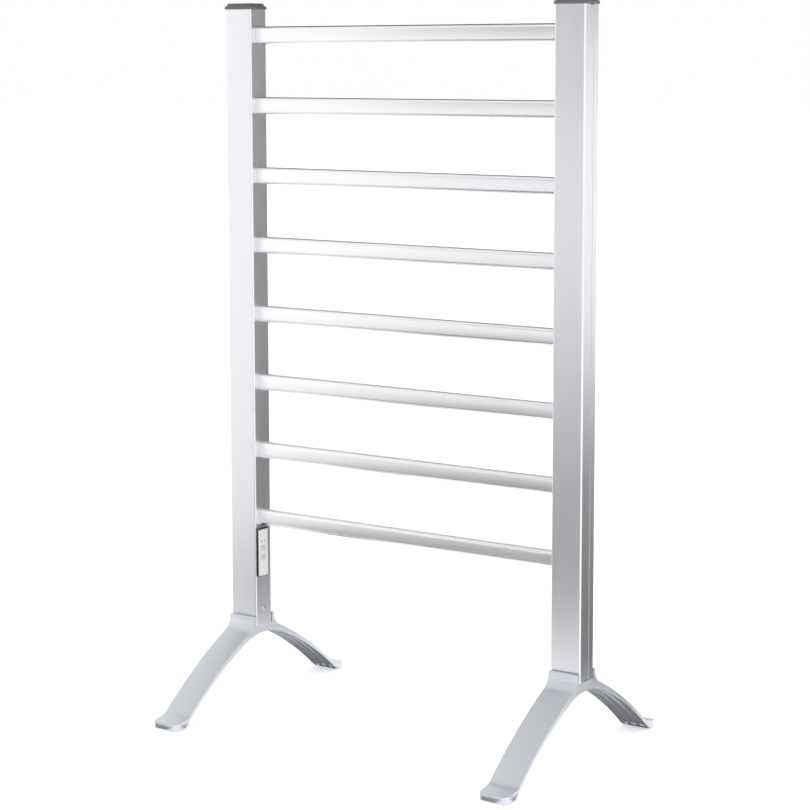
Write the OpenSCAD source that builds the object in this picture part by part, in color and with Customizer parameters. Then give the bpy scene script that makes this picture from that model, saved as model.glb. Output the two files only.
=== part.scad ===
// Free-standing electric towel warmer: two extruded uprights, eight heated bars,
// two arched feet and a small control panel on the inner face of the left upright.
// Millimetres. X runs along the bars, -Y is the front, Z is up. The origin is on the
// floor, half way between the uprights.

/* [Frame] */
// Distance between the centre lines of the two uprights
span = 500; // [380:5:700]
// Height of the uprights' lower ends above the floor
foot_rise = 106; // [100:1:130]
// Length of each upright
upright_len = 823; // [650:1:1000]
// Width of an upright, along the bars
upright_w = 42; // [36:0.5:52]
// Depth of an upright, front to back
upright_d = 33; // [30:0.5:42]
// Wall of the upright's extrusion
upright_wall = 1.6; // [1.2:0.1:2]
// Outer corner radius of the upright
upright_corner = 2; // [1:0.5:3]
// Width of the channel along the outer face, which the cover strip closes
channel_w = 9.4; // [8.5:0.1:12]
// Depth of that channel
channel_depth = 4.2; // [3.8:0.1:5]

/* [Bars] */
// Height of a bar
bar_h = 22.5; // [18:0.5:28]
// Depth of a bar, front to back
bar_d = 13; // [11:0.5:17]
// Radius of the bar's rounded edges
bar_corner = 5; // [3:0.25:5.25]
// Wall of the bar's extrusion
bar_wall = 1.4; // [1:0.1:2]
// From the uprights' upper ends down to the top bar's centre
top_drop = 33.5; // [26:0.5:50]
// From the uprights' lower ends up to the lowest bar's centre
low_rise = 147; // [145:1:200]
// Diameter of the heating cord inside a bar
heater_dia = 5; // [3:0.5:6]
// How far a bar's end plug reaches into the bar
plug_len = 14; // [10:1:20]

/* [Feet] */
// Length of a foot from toe to toe
foot_len = 372; // [300:2:460]
// Width of a foot
foot_w = 41; // [36:0.5:50]
// Height of the arch under the foot's middle
arch_h = 94; // [88:1:98]
// Height of the collars above the uprights' lower ends
collar_h = 12; // [8:0.5:18]
// Thickness of a collar at its top
collar_t = 4.3; // [3.5:0.1:6]
// Thickness of the deck, the foot's upper skin
deck_t = 3; // [2.5:0.25:4]
// Thickness of the side walls and ribs
rib_t = 3.2; // [2.4:0.2:4]
// Height of the toe at its tip
toe_h = 9; // [8:0.5:11]
// How far the spigot reaches up into the upright
spigot_h = 40; // [30:1:50]
// Thickness of an anti-slip pad
pad_t = 2; // [1.5:0.25:3]

/* [Caps] */
// Overhang of a cap's rim round the upright
cap_lip = 1.6; // [1:0.1:2.5]
// Height of the rim
cap_rim_h = 4.3; // [3:0.1:6]
// Height of the raised top above the rim
cap_top_h = 3.5; // [2:0.1:5]
// How far the cap's plug reaches down into the upright
cap_plug_h = 14; // [10:1:18]

/* [Control panel] */
// Height of the panel
panel_h = 66; // [55:1:80]
// Width of the panel, front to back
panel_w = 21.5; // [20:0.5:25]
// How far the panel stands out of the upright's inner face
panel_t = 5.1; // [4.6:0.1:7]
// From the upright's front face back to the panel's front side
panel_inset = 0.5; // [0.3:0.1:3]
// From the lowest bar's underside down to the panel
panel_gap = 2.25; // [1.5:0.25:6]
// Width of a key, front to back
key_w = 8; // [6:0.5:10]
// Height of a key
key_h = 6; // [5:0.5:7]
// How far a key moves when it is pressed
key_travel = 0.8; // [0.5:0.1:1]
// Diameter of an indicator window
led_dia = 2.2; // [1.6:0.2:3]

/* [Inlet] */
// Diameter of the gland's hole for the supply lead
lead_dia = 7; // [5:0.5:9]
// Height of the gland above the upright's lower end
gland_rise = 58; // [50:1:62]

/* [Hidden] */
bar_count = 8;
side_names = ["left", "right"];

metal = [0.80, 0.81, 0.82];
foot_grey = [0.76, 0.78, 0.81];
cap_grey = [0.42, 0.42, 0.43];
black = [0.06, 0.06, 0.07];
plate_grey = [0.78, 0.79, 0.80];
steel = [0.62, 0.62, 0.63];
insulator = [0.85, 0.82, 0.74];
rubber = [0.12, 0.12, 0.12];

fit = 0.15;          // clearance between two pieces that slide together on assembly
loose = 0.3;         // clearance round a piece that moves or drops in
thread_fit = 0.05;   // a self-tapping screw's shank is this much slimmer than its hole
arc_steps = 8;       // straight steps in a rounded edge
curve_steps = 20;    // straight steps in a leg's long curve
$fn = 32;

upright_top = foot_rise + upright_len;
half_w = upright_w / 2;
half_d = upright_d / 2;
inner_x = half_w - upright_wall;              // inside of the upright's inner wall
channel_floor = half_w - channel_depth;       // outer side of the channel's floor
channel_back = channel_floor - upright_wall;  // inner side of the channel's floor
bar_pitch = (upright_len - top_drop - low_rise) / (bar_count - 1);
bar_half = span / 2 + channel_back - fit;     // a bar ends just short of the channel's floor
function bar_z(k) = upright_top - top_drop - (k - 1) * bar_pitch;

function arc(c, r, a0, a1, n = arc_steps) =
    [for (i = [0 : n]) c + r * [cos(a0 + (a1 - a0) * i / n), sin(a0 + (a1 - a0) * i / n)]];
function rounded(w, h, r, n = arc_steps) = concat(
    arc([w / 2 - r, h / 2 - r], r, 0, 90, n), arc([r - w / 2, h / 2 - r], r, 90, 180, n),
    arc([r - w / 2, r - h / 2], r, 180, 270, n), arc([w / 2 - r, r - h / 2], r, 270, 360, n));
function turned(points) = [for (i = [len(points) - 1 : -1 : 0]) points[i]];
function mirrored(points) = turned([for (p = points) [-p[0], p[1]]]);

// Puts what is drawn round x = 0, with its inner face at +X, on the left or the right upright
module on_side(side) {
    if (side == "left") translate([-span / 2, 0, 0]) children();
    else translate([span / 2, 0, 0]) mirror([1, 0, 0]) children();
}
// Extrudes an outline in Y and Z by t along X, centred on x
module along_x(x, t) {
    translate([x - t / 2, 0, 0]) rotate([90, 0, 90]) linear_extrude(t) children();
}
// A round bar or bore along X, from x0 to x1
module rod_x(x0, x1, y, z, d) {
    translate([x0, y, z]) rotate([0, 90, 0]) cylinder(d = d, h = x1 - x0);
}
module block(x0, x1, y0, y1, z0, z1) {
    translate([x0, y0, z0]) cube([x1 - x0, y1 - y0, z1 - z0]);
}

// ---------- Uprights, strips and caps ----------
screw_hole = 4.3;
foot_screw_rise = 21;   // from the upright's lower end up to the foot's screw
earth_rise = 14;        // from the spigot's top up to the earth screw
panel_side = 3.5;       // wall beside the control board
panel_end = 7;          // wall above and below it, which takes the screws
gland_wall = 2.5;       // round the lead, where the gland passes through the upright
foot_screw_z = foot_rise + foot_screw_rise;
panel_z0 = foot_rise + low_rise - bar_h / 2 - panel_gap - panel_h;
panel_y0 = panel_inset - half_d;
panel_mid_y = panel_y0 + panel_w / 2;
panel_mid_z = panel_z0 + panel_h / 2;
board_w = panel_w - 2 * panel_side;
board_h = panel_h - 2 * panel_end;
gland_z = foot_rise + gland_rise;
gland_hole = lead_dia + 2 * gland_wall;
earth_z = foot_rise + spigot_h + earth_rise;

// The hollow section, with its channel in the middle of the outer face
module upright_section() {
    difference() {
        polygon(rounded(upright_w, upright_d, upright_corner));
        difference() {
            square([upright_w - 2 * upright_wall, upright_d - 2 * upright_wall], center = true);
            translate([-half_w, -channel_w / 2 - upright_wall])
                square([channel_depth + upright_wall, channel_w + 2 * upright_wall]);
        }
        translate([-half_w - 1, -channel_w / 2]) square([channel_depth + 1, channel_w]);
    }
}

// An upright with its slots for the bars and its screw holes; the left one is also cut
// for the panel and the gland
module upright(side) {
    color(metal) on_side(side) difference() {
        translate([0, 0, foot_rise]) linear_extrude(upright_len) upright_section();
        for (k = [1 : bar_count]) {
            translate([0, 0, bar_z(k)]) along_x(half_w, 4 * upright_wall)
                polygon(rounded(bar_d + 2 * fit, bar_h + 2 * fit, bar_corner + fit));
            rod_x(-half_w, -channel_back + 1, 0, bar_z(k), screw_hole);
        }
        if (side == "left") rod_x(-half_w, -channel_back + 1, 0, earth_z, screw_hole);
        rod_x(inner_x - 1, half_w + 1, 0, foot_screw_z, screw_hole);
        if (side == "left") {
            block(inner_x - 1, half_w + 1, panel_mid_y - board_w / 2 - loose,
                  panel_mid_y + board_w / 2 + loose, panel_mid_z - board_h / 2 - loose,
                  panel_mid_z + board_h / 2 + loose);
            for (s = [-1, 1])
                rod_x(inner_x - 1, half_w + 1, panel_mid_y,
                      panel_mid_z + s * panel_screw_offset, panel_screw_dia + fit);
            translate([0, half_d + 1, gland_z]) rotate([90, 0, 0])
                cylinder(d = gland_hole + 2 * fit, h = upright_wall + 2);
        }
    }
}

strip_t = 1.4;        // thickness of a cover strip
strip_recess = 0.3;   // how far the strip's face lies below the upright's
strip_short = 1;      // how far the strip stops short of each end
// The strip that snaps into the channel and hides the bars' screws
module cover_strip(side) {
    color(metal) on_side(side)
        block(strip_recess - half_w, strip_recess + strip_t - half_w,
              fit - channel_w / 2, channel_w / 2 - fit, foot_rise + strip_short,
              upright_top - strip_short);
}

cap_step = 2.35;      // from the rim's side in to the foot of the raised top
cap_chamfer = 1;      // on the rim's upper edge
cap_plug_wall = 2;
slice = 0.1;          // thickness of the slices that a blend runs between
// A slice of the cap, drawn in from the rim's side by d and given the corner radius r
module cap_slice(d, r, h = slice) {
    linear_extrude(h) polygon(rounded(upright_w + 2 * cap_lip - 2 * d,
                                      upright_d + 2 * cap_lip - 2 * d, r));
}
// A cap: a rim that rests on the upright, a raised top and a hollow plug inside
module cap(side) {
    plug_x0 = fit - channel_back;
    plug_x1 = inner_x - fit;
    plug_y = half_d - upright_wall - fit;
    color(cap_grey) on_side(side) difference() {
        union() {
            translate([0, 0, upright_top]) {
                cap_slice(0, upright_corner + cap_lip, cap_rim_h - cap_chamfer);
                hull() {
                    translate([0, 0, cap_rim_h - cap_chamfer - slice])
                        cap_slice(0, upright_corner + cap_lip);
                    translate([0, 0, cap_rim_h]) cap_slice(cap_chamfer, upright_corner + 1);
                }
                hull() {
                    translate([0, 0, cap_rim_h]) cap_slice(cap_step, upright_corner + 1);
                    translate([0, 0, cap_rim_h + cap_top_h - slice])
                        cap_slice(2 * cap_step, upright_corner + 1);
                }
            }
            block(plug_x0, plug_x1, -plug_y, plug_y, upright_top - cap_plug_h, upright_top + 1);
        }
        block(plug_x0 + cap_plug_wall, plug_x1 - cap_plug_wall, cap_plug_wall - plug_y,
              plug_y - cap_plug_wall, upright_top - cap_plug_h - 1, upright_top);
    }
}

// ---------- Bars, their plugs, screws and heating cords ----------
// A bar: a flat oval tube that runs through both uprights, bar 1 at the top
module bar(k) {
    color(metal) translate([0, 0, bar_z(k)]) along_x(0, 2 * bar_half) difference() {
        polygon(rounded(bar_d, bar_h, bar_corner));
        polygon(rounded(bar_d - 2 * bar_wall, bar_h - 2 * bar_wall, bar_corner - bar_wall));
    }
}

screw_dia = 4;
screw_len = 14;
screw_head_dia = 7.4;
screw_head_h = 2.2;
screw_gap = 0.1;      // round a screw in a hole that it passes through
recess_w = 0.9;       // width of a cross recess
pilot = 3.4;
cord_rise = 6.9;      // the heating cord runs above the bar's screw
heater_short = 1;     // how far the cord stops short of the bar's ends
// Plugs in the bars' ends, with a hole for the screw and a slot for the heating cord
module bar_plugs(side) {
    color(insulator) on_side(side) for (k = [1 : bar_count]) difference() {
        translate([0, 0, bar_z(k)]) along_x(-channel_back + fit + plug_len / 2, plug_len)
            polygon(rounded(bar_d - 2 * bar_wall - 2 * fit, bar_h - 2 * bar_wall - 2 * fit,
                            bar_corner - bar_wall - fit));
        rod_x(-half_w, half_w, 0, bar_z(k), screw_dia + screw_gap);
        block(-half_w, half_w, -heater_dia / 2 - fit, heater_dia / 2 + fit,
              bar_z(k) + cord_rise - heater_dia / 2 - fit, bar_z(k) + bar_h);
    }
}

// A cross-head screw along +X whose head ends at x
module pan_screw_x(x, y, z, dia, length, head_dia, head_h) {
    rod_x(x, x + length, y, z, dia);
    difference() {
        rod_x(x - head_h, x, y, z, head_dia);
        for (a = [0, 90]) translate([x - head_h, y, z]) rotate([a, 0, 0])
            cube([2 * head_h * 0.6, recess_w, head_dia * 0.6], center = true);
    }
}
// The screws that hold the bars, one through the channel's floor into each end
module bar_screws(side) {
    color(steel) on_side(side) for (k = [1 : bar_count])
        pan_screw_x(-channel_floor, 0, bar_z(k), screw_dia, screw_len, screw_head_dia,
                    screw_head_h);
}

// The heating cord inside a bar
module heater(k) {
    reach = bar_half - heater_short;
    color(insulator) rod_x(-reach, reach, 0, bar_z(k) + cord_rise, heater_dia);
}

// Flat insulated leads beside the bars' ends, from each heating cord to the next
wire_t = 2;
wire_gap = 2;         // between a bar's side and a lead
module link_wires(side) {
    y = bar_d / 2 + wire_gap;
    x = 1 - channel_back;
    first = side == "left" ? 1 : 2;
    color(rubber) on_side(side) for (k = [first : 2 : bar_count - 1])
        block(x, x + 2 * wire_t, y, y + wire_t,
              bar_z(k + 1) - bar_h / 2, bar_z(k) + bar_h / 2);
}

// ---------- Feet ----------
leg_start = 26;       // slope where the leg's upper curve leaves the collar, degrees
arch_turn = 24;       // slope where the arch's tight curve passes into the leg
arch_r = 98;          // radius of the arch's tight curve
collar_fillet = 20;   // radius of the curve from the collar out to the leg
seat_gap = 1;         // slit between the collar and the upright
seat_slit = 3.5;      // depth of the slit below the seat
seat_fit = 0.2;       // between the upright's faces and the foot's seat
tip_r = 3;            // rounding of a toe's end
lip_r = 2.2;          // rounding of a collar's lip
toe_corner = 9;       // corner radius of a toe, seen from above
toe_back = 30;        // from the toe's end back to where the leg meets the toe
toe_step = 8;         // height there above the toe's tip
toe_crease = [5, 5.2];  // the hollow between leg and toe, from where the leg ends
toe_flat = [8, 1.6];  // where the toe's flat top ends, from the toe's end and its height
floor_back = 17;      // from the toe's end back to where the arch's curve reaches the floor
pocket_start = 8;     // from a collar out to the hollow under the leg
pocket_stop = 14;     // from the toe's end back to that hollow
rib_back = 21;        // from the toe's end back to where the ribs end
pocket_roof = 1.5;    // the hollow's roof lies this far below the toe's tip height
pad_l = 10;
pad_w = foot_w - 12;
pad_proud = 0.8;      // how far a pad stands out below the toe
half_foot = foot_len / 2;
collar_y = half_d + seat_fit + seat_gap;           // inner face of a collar
collar_out = collar_y + collar_t;             // outer face of a collar
collar_top = foot_rise + collar_h;
leg_y0 = collar_out + collar_fillet * (1 - sin(leg_start));
leg_z0 = collar_top - lip_r - collar_fillet * cos(leg_start);
toe_y = half_foot - toe_back;                       // where the leg meets the toe
arch_y0 = arch_r * sin(arch_turn);
arch_z0 = arch_h - arch_r * (1 - cos(arch_turn));
floor_y = half_foot - floor_back;                     // where the arch's curve reaches the floor

// A curve from one point to another whose slope starts at s0 and grows, as a quadratic
// that leaves the first point along s0
function leg_curve(p, q, s0, n = curve_steps) = [for (i = [0 : n])
    let (t = i / n, m = [p[0] + (q[0] - p[0]) * 0.52, 0],
         c = [m[0], p[1] - (m[0] - p[0]) * tan(s0)])
    (1 - t) * (1 - t) * p + 2 * t * (1 - t) * c + t * t * q];

leg_top = leg_curve([leg_y0, leg_z0], [toe_y, toe_h + toe_step], leg_start);
leg_under = leg_curve([arch_y0, arch_z0], [floor_y, pad_proud], arch_turn);
fillet_pts = [for (i = [0 : arc_steps]) let (s = 90 + (leg_start - 90) * i / arc_steps)
    [collar_out + collar_fillet * (1 - sin(s)), collar_top - lip_r - collar_fillet * cos(s)]];
arch_pts = [for (i = [0 : arc_steps - 1]) let (s = arch_turn * i / arc_steps)
    [arch_r * sin(s), arch_h - arch_r * (1 - cos(s))]];

foot_half_outline = concat(
    [[0, foot_rise], [half_d + seat_fit, foot_rise],
     [half_d + seat_fit, foot_rise - seat_slit],
     [collar_y, foot_rise - seat_slit]],
    arc([collar_y + seat_gap, collar_top - seat_gap], seat_gap, 180, 90, 3),
    arc([collar_out - lip_r, collar_top - lip_r], lip_r, 90, 10, 4),
    fillet_pts, leg_top,
    [[toe_y + toe_crease[0], toe_h + toe_crease[1]],
     [half_foot - toe_flat[0], toe_h + toe_flat[1]]],
    arc([half_foot - tip_r - 1, toe_h - tip_r + 0.8], tip_r + 1, 70, 0, 5),
    arc([half_foot - tip_r, tip_r + pad_proud], tip_r, 0, -90, 5),
    turned(leg_under), turned(arch_pts));
foot_outline = concat(foot_half_outline, mirrored(foot_half_outline));

pocket_y0 = collar_out + pocket_start;
pocket_y1 = half_foot - pocket_stop;
rib_end = half_foot - rib_back;
function below(points, t) = [for (p = points) [p[0] - t * 0.5, p[1] - t * 1.1]];
pocket_outline = concat(
    [for (p = below(leg_top, deck_t)) if (p[0] > pocket_y0 && p[0] < toe_y) p],
    [[pocket_y1, toe_h - pocket_roof], [pocket_y1, -1], [pocket_y0, -1]]);
rib_count = 2;
rib_pitch = (foot_w - rib_t) / (rib_count + 1);

spigot_x0 = loose - channel_back;
spigot_x1 = inner_x - loose;
spigot_y = half_d - upright_wall - loose;

spigot_wall = 3;
spigot_boss = 8;      // solid part of the spigot, which takes the foot's screw
// The hollows under both legs, which leave the side walls and the ribs
module foot_pockets() {
    for (s = [0, 1]) mirror([0, s, 0]) difference() {
        along_x(0, foot_w - 2 * rib_t) polygon(pocket_outline);
        for (i = [1 : rib_count])
            block(-foot_w / 2 + i * rib_pitch, -foot_w / 2 + i * rib_pitch + rib_t,
                  0, rib_end, -2, foot_rise);
    }
}

pad_y = half_foot - tip_r - pad_l / 2 - 1;
// A foot: two arched legs with a spigot that stands inside the upright
module foot(side) {
    color(foot_grey) on_side(side) difference() {
        union() {
            difference() {
                intersection() {
                    along_x(0, foot_w) polygon(foot_outline);
                    linear_extrude(collar_top + 1)
                        polygon(rounded(foot_w, foot_len, toe_corner));
                }
                foot_pockets();
            }
            block(spigot_x0, spigot_x1, -spigot_y, spigot_y, foot_rise - 2, foot_rise + spigot_h);
        }
        block(spigot_x0 + spigot_wall, spigot_x1 - spigot_boss, spigot_wall - spigot_y,
              spigot_y - spigot_wall,
              foot_rise + 2, foot_rise + spigot_h + 1);
        rod_x(0, half_w, 0, foot_screw_z, pilot);
        for (s = [-1, 1])
            block(-pad_w / 2 - fit, pad_w / 2 + fit, s * pad_y - pad_l / 2 - fit,
                  s * pad_y + pad_l / 2 + fit, 0, pad_t);
    }
}

// An anti-slip pad let into the underside of a toe
module toe_pad(side, end) {
    y = end == "front" ? -pad_y : pad_y;
    color(rubber) on_side(side)
        block(-pad_w / 2, pad_w / 2, y - pad_l / 2, y + pad_l / 2, 0, pad_t);
}

foot_screw_len = 10;
foot_screw_head = [7, 1.8];   // diameter and height
module foot_screw(side) {
    color(steel) on_side(side) mirror([1, 0, 0])
        pan_screw_x(-half_w, 0, foot_screw_z, pilot - thread_fit,
                    foot_screw_len, foot_screw_head[0], foot_screw_head[1]);
}

// ---------- Control panel ----------
panel_screw_dia = 3;
panel_screw_in = 4;                     // from the panel's ends in to each screw
panel_screw_offset = panel_h / 2 - panel_screw_in;
panel_screw_head = [5.2, 1.6];          // diameter and height
panel_screw_len = 3.8;
plate_t = 1;
panel_x0 = half_w;                      // the panel's back lies on the upright
panel_x1 = half_w + panel_t;
key_gap = 0.3;
power_drop = 7.5;                       // the power key lies this far below the panel's middle
timer_rise = 5;                         // and the timer key this far above it
led_rise = 14.5;
key_z = [panel_mid_z - power_drop, panel_mid_z + timer_rise];
led_z = panel_mid_z + led_rise;
led_dy = 3;                             // each window's distance from the panel's middle
board_t = 1.6;
board_proud = 0.6;                      // the rest of the board stands inside the upright
board_x1 = half_w + board_proud;
key_stem = 3;

screw_bore = panel_screw_dia - 0.4;     // the screws cut their own thread
// The panel's open housing, screwed on from inside the upright
module panel_housing() {
    color(black) on_side("left") difference() {
        block(panel_x0, panel_x1 - plate_t, panel_y0, panel_y0 + panel_w,
              panel_z0, panel_z0 + panel_h);
        block(panel_x0 - 1, panel_x1, panel_mid_y - board_w / 2, panel_mid_y + board_w / 2,
              panel_mid_z - board_h / 2, panel_mid_z + board_h / 2);
        for (s = [-1, 1])
            rod_x(panel_x0 - 1, panel_x0 + 2.4, panel_mid_y,
                  panel_mid_z + s * panel_screw_offset, screw_bore);
    }
}

plate_low = 0.8;        // what the housing shows below the face plate
plate_high = 2.4;       // above it
plate_rear = 2.5;       // and behind it
face_y = panel_y0 + (panel_w - plate_rear) / 2;   // the middle of the face plate
// The face plate, with openings for the keys and the indicator windows
module panel_plate() {
    color(plate_grey) on_side("left") difference() {
        block(panel_x1 - plate_t, panel_x1, panel_y0, panel_y0 + panel_w - plate_rear,
              panel_z0 + plate_low, panel_z0 + panel_h - plate_high);
        for (z = key_z)
            block(panel_x0, panel_x1 + 1, face_y - key_w / 2 - key_gap,
                  face_y + key_w / 2 + key_gap, z - key_h / 2 - key_gap,
                  z + key_h / 2 + key_gap);
        for (s = [-1, 1])
            rod_x(panel_x0, panel_x1 + 1, face_y + s * led_dy, led_z, led_dia + screw_gap);
    }
}

// A key: its cap stands proud of the plate by its travel, a collar under the plate holds
// it in, and a stem reaches towards the switch on the board
collar_gap = 0.15;
collar_w = 0.9;       // the collar's width and thickness
module key(z) {
    collar_x1 = panel_x1 - plate_t - collar_gap;
    color(plate_grey) on_side("left") {
        block(collar_x1 - 0.1, panel_x1 + key_travel, face_y - key_w / 2,
              face_y + key_w / 2, z - key_h / 2, z + key_h / 2);
        block(collar_x1 - collar_w, collar_x1, face_y - key_w / 2 - collar_w,
              face_y + key_w / 2 + collar_w, z - key_h / 2 - collar_w,
              z + key_h / 2 + collar_w);
        rod_x(board_x1 + key_travel + loose, collar_x1 - 0.5, face_y, z, key_stem);
    }
}

module indicator_windows() {
    color(black) on_side("left") for (s = [-1, 1])
        rod_x(panel_x1 - plate_t - 1, panel_x1 - 0.1, face_y + s * led_dy, led_z, led_dia);
}

module control_board() {
    color("darkgreen") on_side("left")
        block(board_x1 - board_t, board_x1, panel_mid_y - board_w / 2 + fit,
              panel_mid_y + board_w / 2 - fit, panel_mid_z - board_h / 2 + fit,
              panel_mid_z + board_h / 2 - fit);
}

module panel_screws() {
    color(steel) on_side("left") for (s = [-1, 1])
        pan_screw_x(inner_x, panel_mid_y, panel_mid_z + s * panel_screw_offset,
                    screw_bore - thread_fit, panel_screw_len,
                        panel_screw_head[0], panel_screw_head[1]);
}

// ---------- Wiring inside the left upright, and the lead's inlet ----------
// The thermal cut-out, a small block at the front, above the panel
cutout_w = 12;
cutout_h = 18;
module thermal_cutout() {
    z = panel_z0 + panel_h + cutout_w / 2;
    color(black) on_side("left")
        block(-cutout_w / 2, cutout_w / 2, fit + upright_wall - half_d, -bar_d / 2 - wire_gap,
              z, z + cutout_h);
}

// The terminal block above the gland, with a bore for each lead
terminal_size = [18, 10, 14];
terminal_rise = 16;
terminal_pitch = 5;
module terminal_block() {
    y = half_d - upright_wall;
    z = gland_z + terminal_rise;
    color(insulator) on_side("left") difference() {
        block(-terminal_size[0] / 2, terminal_size[0] / 2, y - terminal_size[1], y - fit,
              z, z + terminal_size[2]);
        for (k = [-1 : 1])
            translate([k * terminal_pitch, y - 0.6 * terminal_size[1], z - 1])
                cylinder(d = 3, h = terminal_size[2] + 2);
    }
}

earth_screw_len = 9;
module earth_screw() {
    color(steel) on_side("left")
        pan_screw_x(-channel_floor, 0, earth_z, screw_dia, earth_screw_len,
                    screw_head_dia, screw_head_h);
}
tag_size = [1, 8, 18];  // thickness, width and height
tag_gap = 0.1;
module earth_tag() {
    x = tag_gap - channel_back;
    z = earth_z - tag_size[1] / 2;
    color("gold") on_side("left") difference() {
        block(x, x + tag_size[0], -tag_size[1] / 2, tag_size[1] / 2, z, z + tag_size[2]);
        rod_x(-half_w, 0, 0, earth_z, screw_dia + screw_gap);
    }
}

gland_flange = [5, 1.6];   // how much wider than the hole it is, and its thickness
gland_tail = 8;
tail_wall = 1.5;
// The gland that the supply lead leaves through
module cord_gland() {
    flange = gland_flange[1];
    color(black) on_side("left") translate([0, half_d, gland_z]) rotate([-90, 0, 0])
        difference() {
            union() {
                cylinder(d = gland_hole + gland_flange[0], h = flange);
                translate([0, 0, flange - slice])
                    cylinder(d1 = gland_hole, d2 = lead_dia + 2 * tail_wall, h = gland_tail);
                translate([0, 0, -upright_wall - 1]) cylinder(d = gland_hole, h = upright_wall + 1);
            }
            translate([0, 0, -upright_wall - 3]) cylinder(d = lead_dia, h = gland_tail + 10);
        }
}

for (s = side_names) {
    upright(s);
    cover_strip(s);
    cap(s);
    foot(s);
    foot_screw(s);
    bar_screws(s);
    bar_plugs(s);
    link_wires(s);
    toe_pad(s, "front");
    toe_pad(s, "rear");
}
for (k = [1 : bar_count]) {
    bar(k);
    heater(k);
}
panel_housing();
panel_plate();
control_board();
key(key_z[0]);  // power_button
key(key_z[1]);  // timer_button
indicator_windows();
panel_screws();
thermal_cutout();
terminal_block();
earth_screw();
earth_tag();
cord_gland();
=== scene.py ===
from math import cos, pi, radians, sin, tan

import bpy
from mathutils import Matrix, Vector


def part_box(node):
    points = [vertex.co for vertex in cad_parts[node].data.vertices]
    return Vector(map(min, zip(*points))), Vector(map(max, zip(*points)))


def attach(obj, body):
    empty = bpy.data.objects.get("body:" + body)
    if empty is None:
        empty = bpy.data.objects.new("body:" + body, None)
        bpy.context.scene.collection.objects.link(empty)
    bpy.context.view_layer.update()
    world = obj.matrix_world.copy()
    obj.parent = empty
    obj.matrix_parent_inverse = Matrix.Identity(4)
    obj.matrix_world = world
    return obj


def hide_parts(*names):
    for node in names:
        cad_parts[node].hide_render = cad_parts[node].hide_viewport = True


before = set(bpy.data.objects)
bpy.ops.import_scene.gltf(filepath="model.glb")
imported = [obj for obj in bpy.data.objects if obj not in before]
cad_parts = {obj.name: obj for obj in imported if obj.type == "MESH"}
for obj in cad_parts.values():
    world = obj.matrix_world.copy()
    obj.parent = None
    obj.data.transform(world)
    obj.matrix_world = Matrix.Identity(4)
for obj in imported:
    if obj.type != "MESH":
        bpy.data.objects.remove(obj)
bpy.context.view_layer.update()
mm = 0.001
sides = {"left": -1, "right": 1}   # the uprights, and the way each one lies from the middle
aligned = 0.9     # a direction with at least this share along an axis counts as along it
anyRadius = 0.1   # of a circle whose points are all placed afterwards

cameraLook = {
    "place": (1.5504, -2.2791, 0.8669),
    "turn": 34.184,       # degrees round the rack, from straight in front
    "tilt": 6.981,        # degrees down
    "roll": -0.101,
    "lens": 96.95,
    "shiftUp": -0.10,
    "sensor": 36,
    "nearest": 0.01,
}


def placeCamera(look):
    bpy.ops.object.camera_add(location=look["place"])
    camera = bpy.context.object
    camera.name = "rackCamera"
    turned = Matrix.Rotation(radians(look["turn"]), 4, "Z")
    tilted = Matrix.Rotation(radians(90 - look["tilt"]), 4, "X")
    rolled = Matrix.Rotation(radians(look["roll"]), 4, "Z")
    camera.rotation_euler = (turned @ tilted @ rolled).to_euler()
    camera.data.lens = look["lens"]
    camera.data.sensor_width = look["sensor"]
    camera.data.shift_y = look["shiftUp"]
    camera.data.clip_start = look["nearest"]
    camera.data.dof.use_dof = False
    bpy.context.scene.camera = camera


placeCamera(cameraLook)
print("camera placed")


# modelling steps that the pieces share
def deselectAll():
    if bpy.context.object and bpy.context.object.mode != "OBJECT":
        bpy.ops.object.mode_set(mode="OBJECT")
    bpy.ops.object.select_all(action="DESELECT")


def makeActive(piece):
    deselectAll()
    piece.select_set(True)
    bpy.context.view_layer.objects.active = piece


def freeze(piece):
    makeActive(piece)
    bpy.ops.object.transform_apply(location=True, rotation=True, scale=True)


def startCube(name, low, high):
    # a cube that fills the room from one corner to the other
    deselectAll()
    size = [h - l for l, h in zip(low, high)]
    centre = [(h + l) / 2 for l, h in zip(low, high)]
    bpy.ops.mesh.primitive_cube_add(size=1, location=centre, scale=size)
    piece = bpy.context.object
    piece.name = name
    freeze(piece)
    return piece


def pick(piece, kind, test):
    # leaves the piece in edit mode with the faces, edges or points that pass the test selected
    makeActive(piece)
    bpy.ops.object.mode_set(mode="EDIT")
    bpy.ops.mesh.select_mode(type=kind)
    bpy.ops.mesh.select_all(action="DESELECT")
    bpy.ops.object.mode_set(mode="OBJECT")
    mesh = piece.data
    if kind == "FACE":
        for face in mesh.polygons:
            face.select = bool(test(face.center, face.normal))
    elif kind == "EDGE":
        for edge in mesh.edges:
            ends = [mesh.vertices[i].co for i in edge.vertices]
            edge.select = bool(test((ends[0] + ends[1]) / 2, (ends[1] - ends[0]).normalized()))
    else:
        for point in mesh.vertices:
            point.select = bool(test(point.co))
    bpy.ops.object.mode_set(mode="EDIT")


def done(piece):
    bpy.ops.object.mode_set(mode="OBJECT")
    return piece


def applyModifier(piece, kind, **settings):
    makeActive(piece)
    modifier = piece.modifiers.new(kind.title(), kind)
    for key, value in settings.items():
        setattr(modifier, key, value)
    bpy.ops.object.modifier_apply(modifier=modifier.name)


def roundEdges(piece, width, segments, angle):
    applyModifier(piece, "BEVEL", width=width, segments=segments, limit_method="ANGLE",
                  angle_limit=radians(angle), use_clamp_overlap=True)


def cutWith(piece, cutter):
    applyModifier(piece, "BOOLEAN", operation="DIFFERENCE", object=cutter, solver="EXACT")
    bpy.data.objects.remove(cutter)


def smooth(piece, angle):
    makeActive(piece)
    bpy.ops.object.shade_smooth_by_angle(angle=radians(angle), keep_sharp_edges=False)


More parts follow.
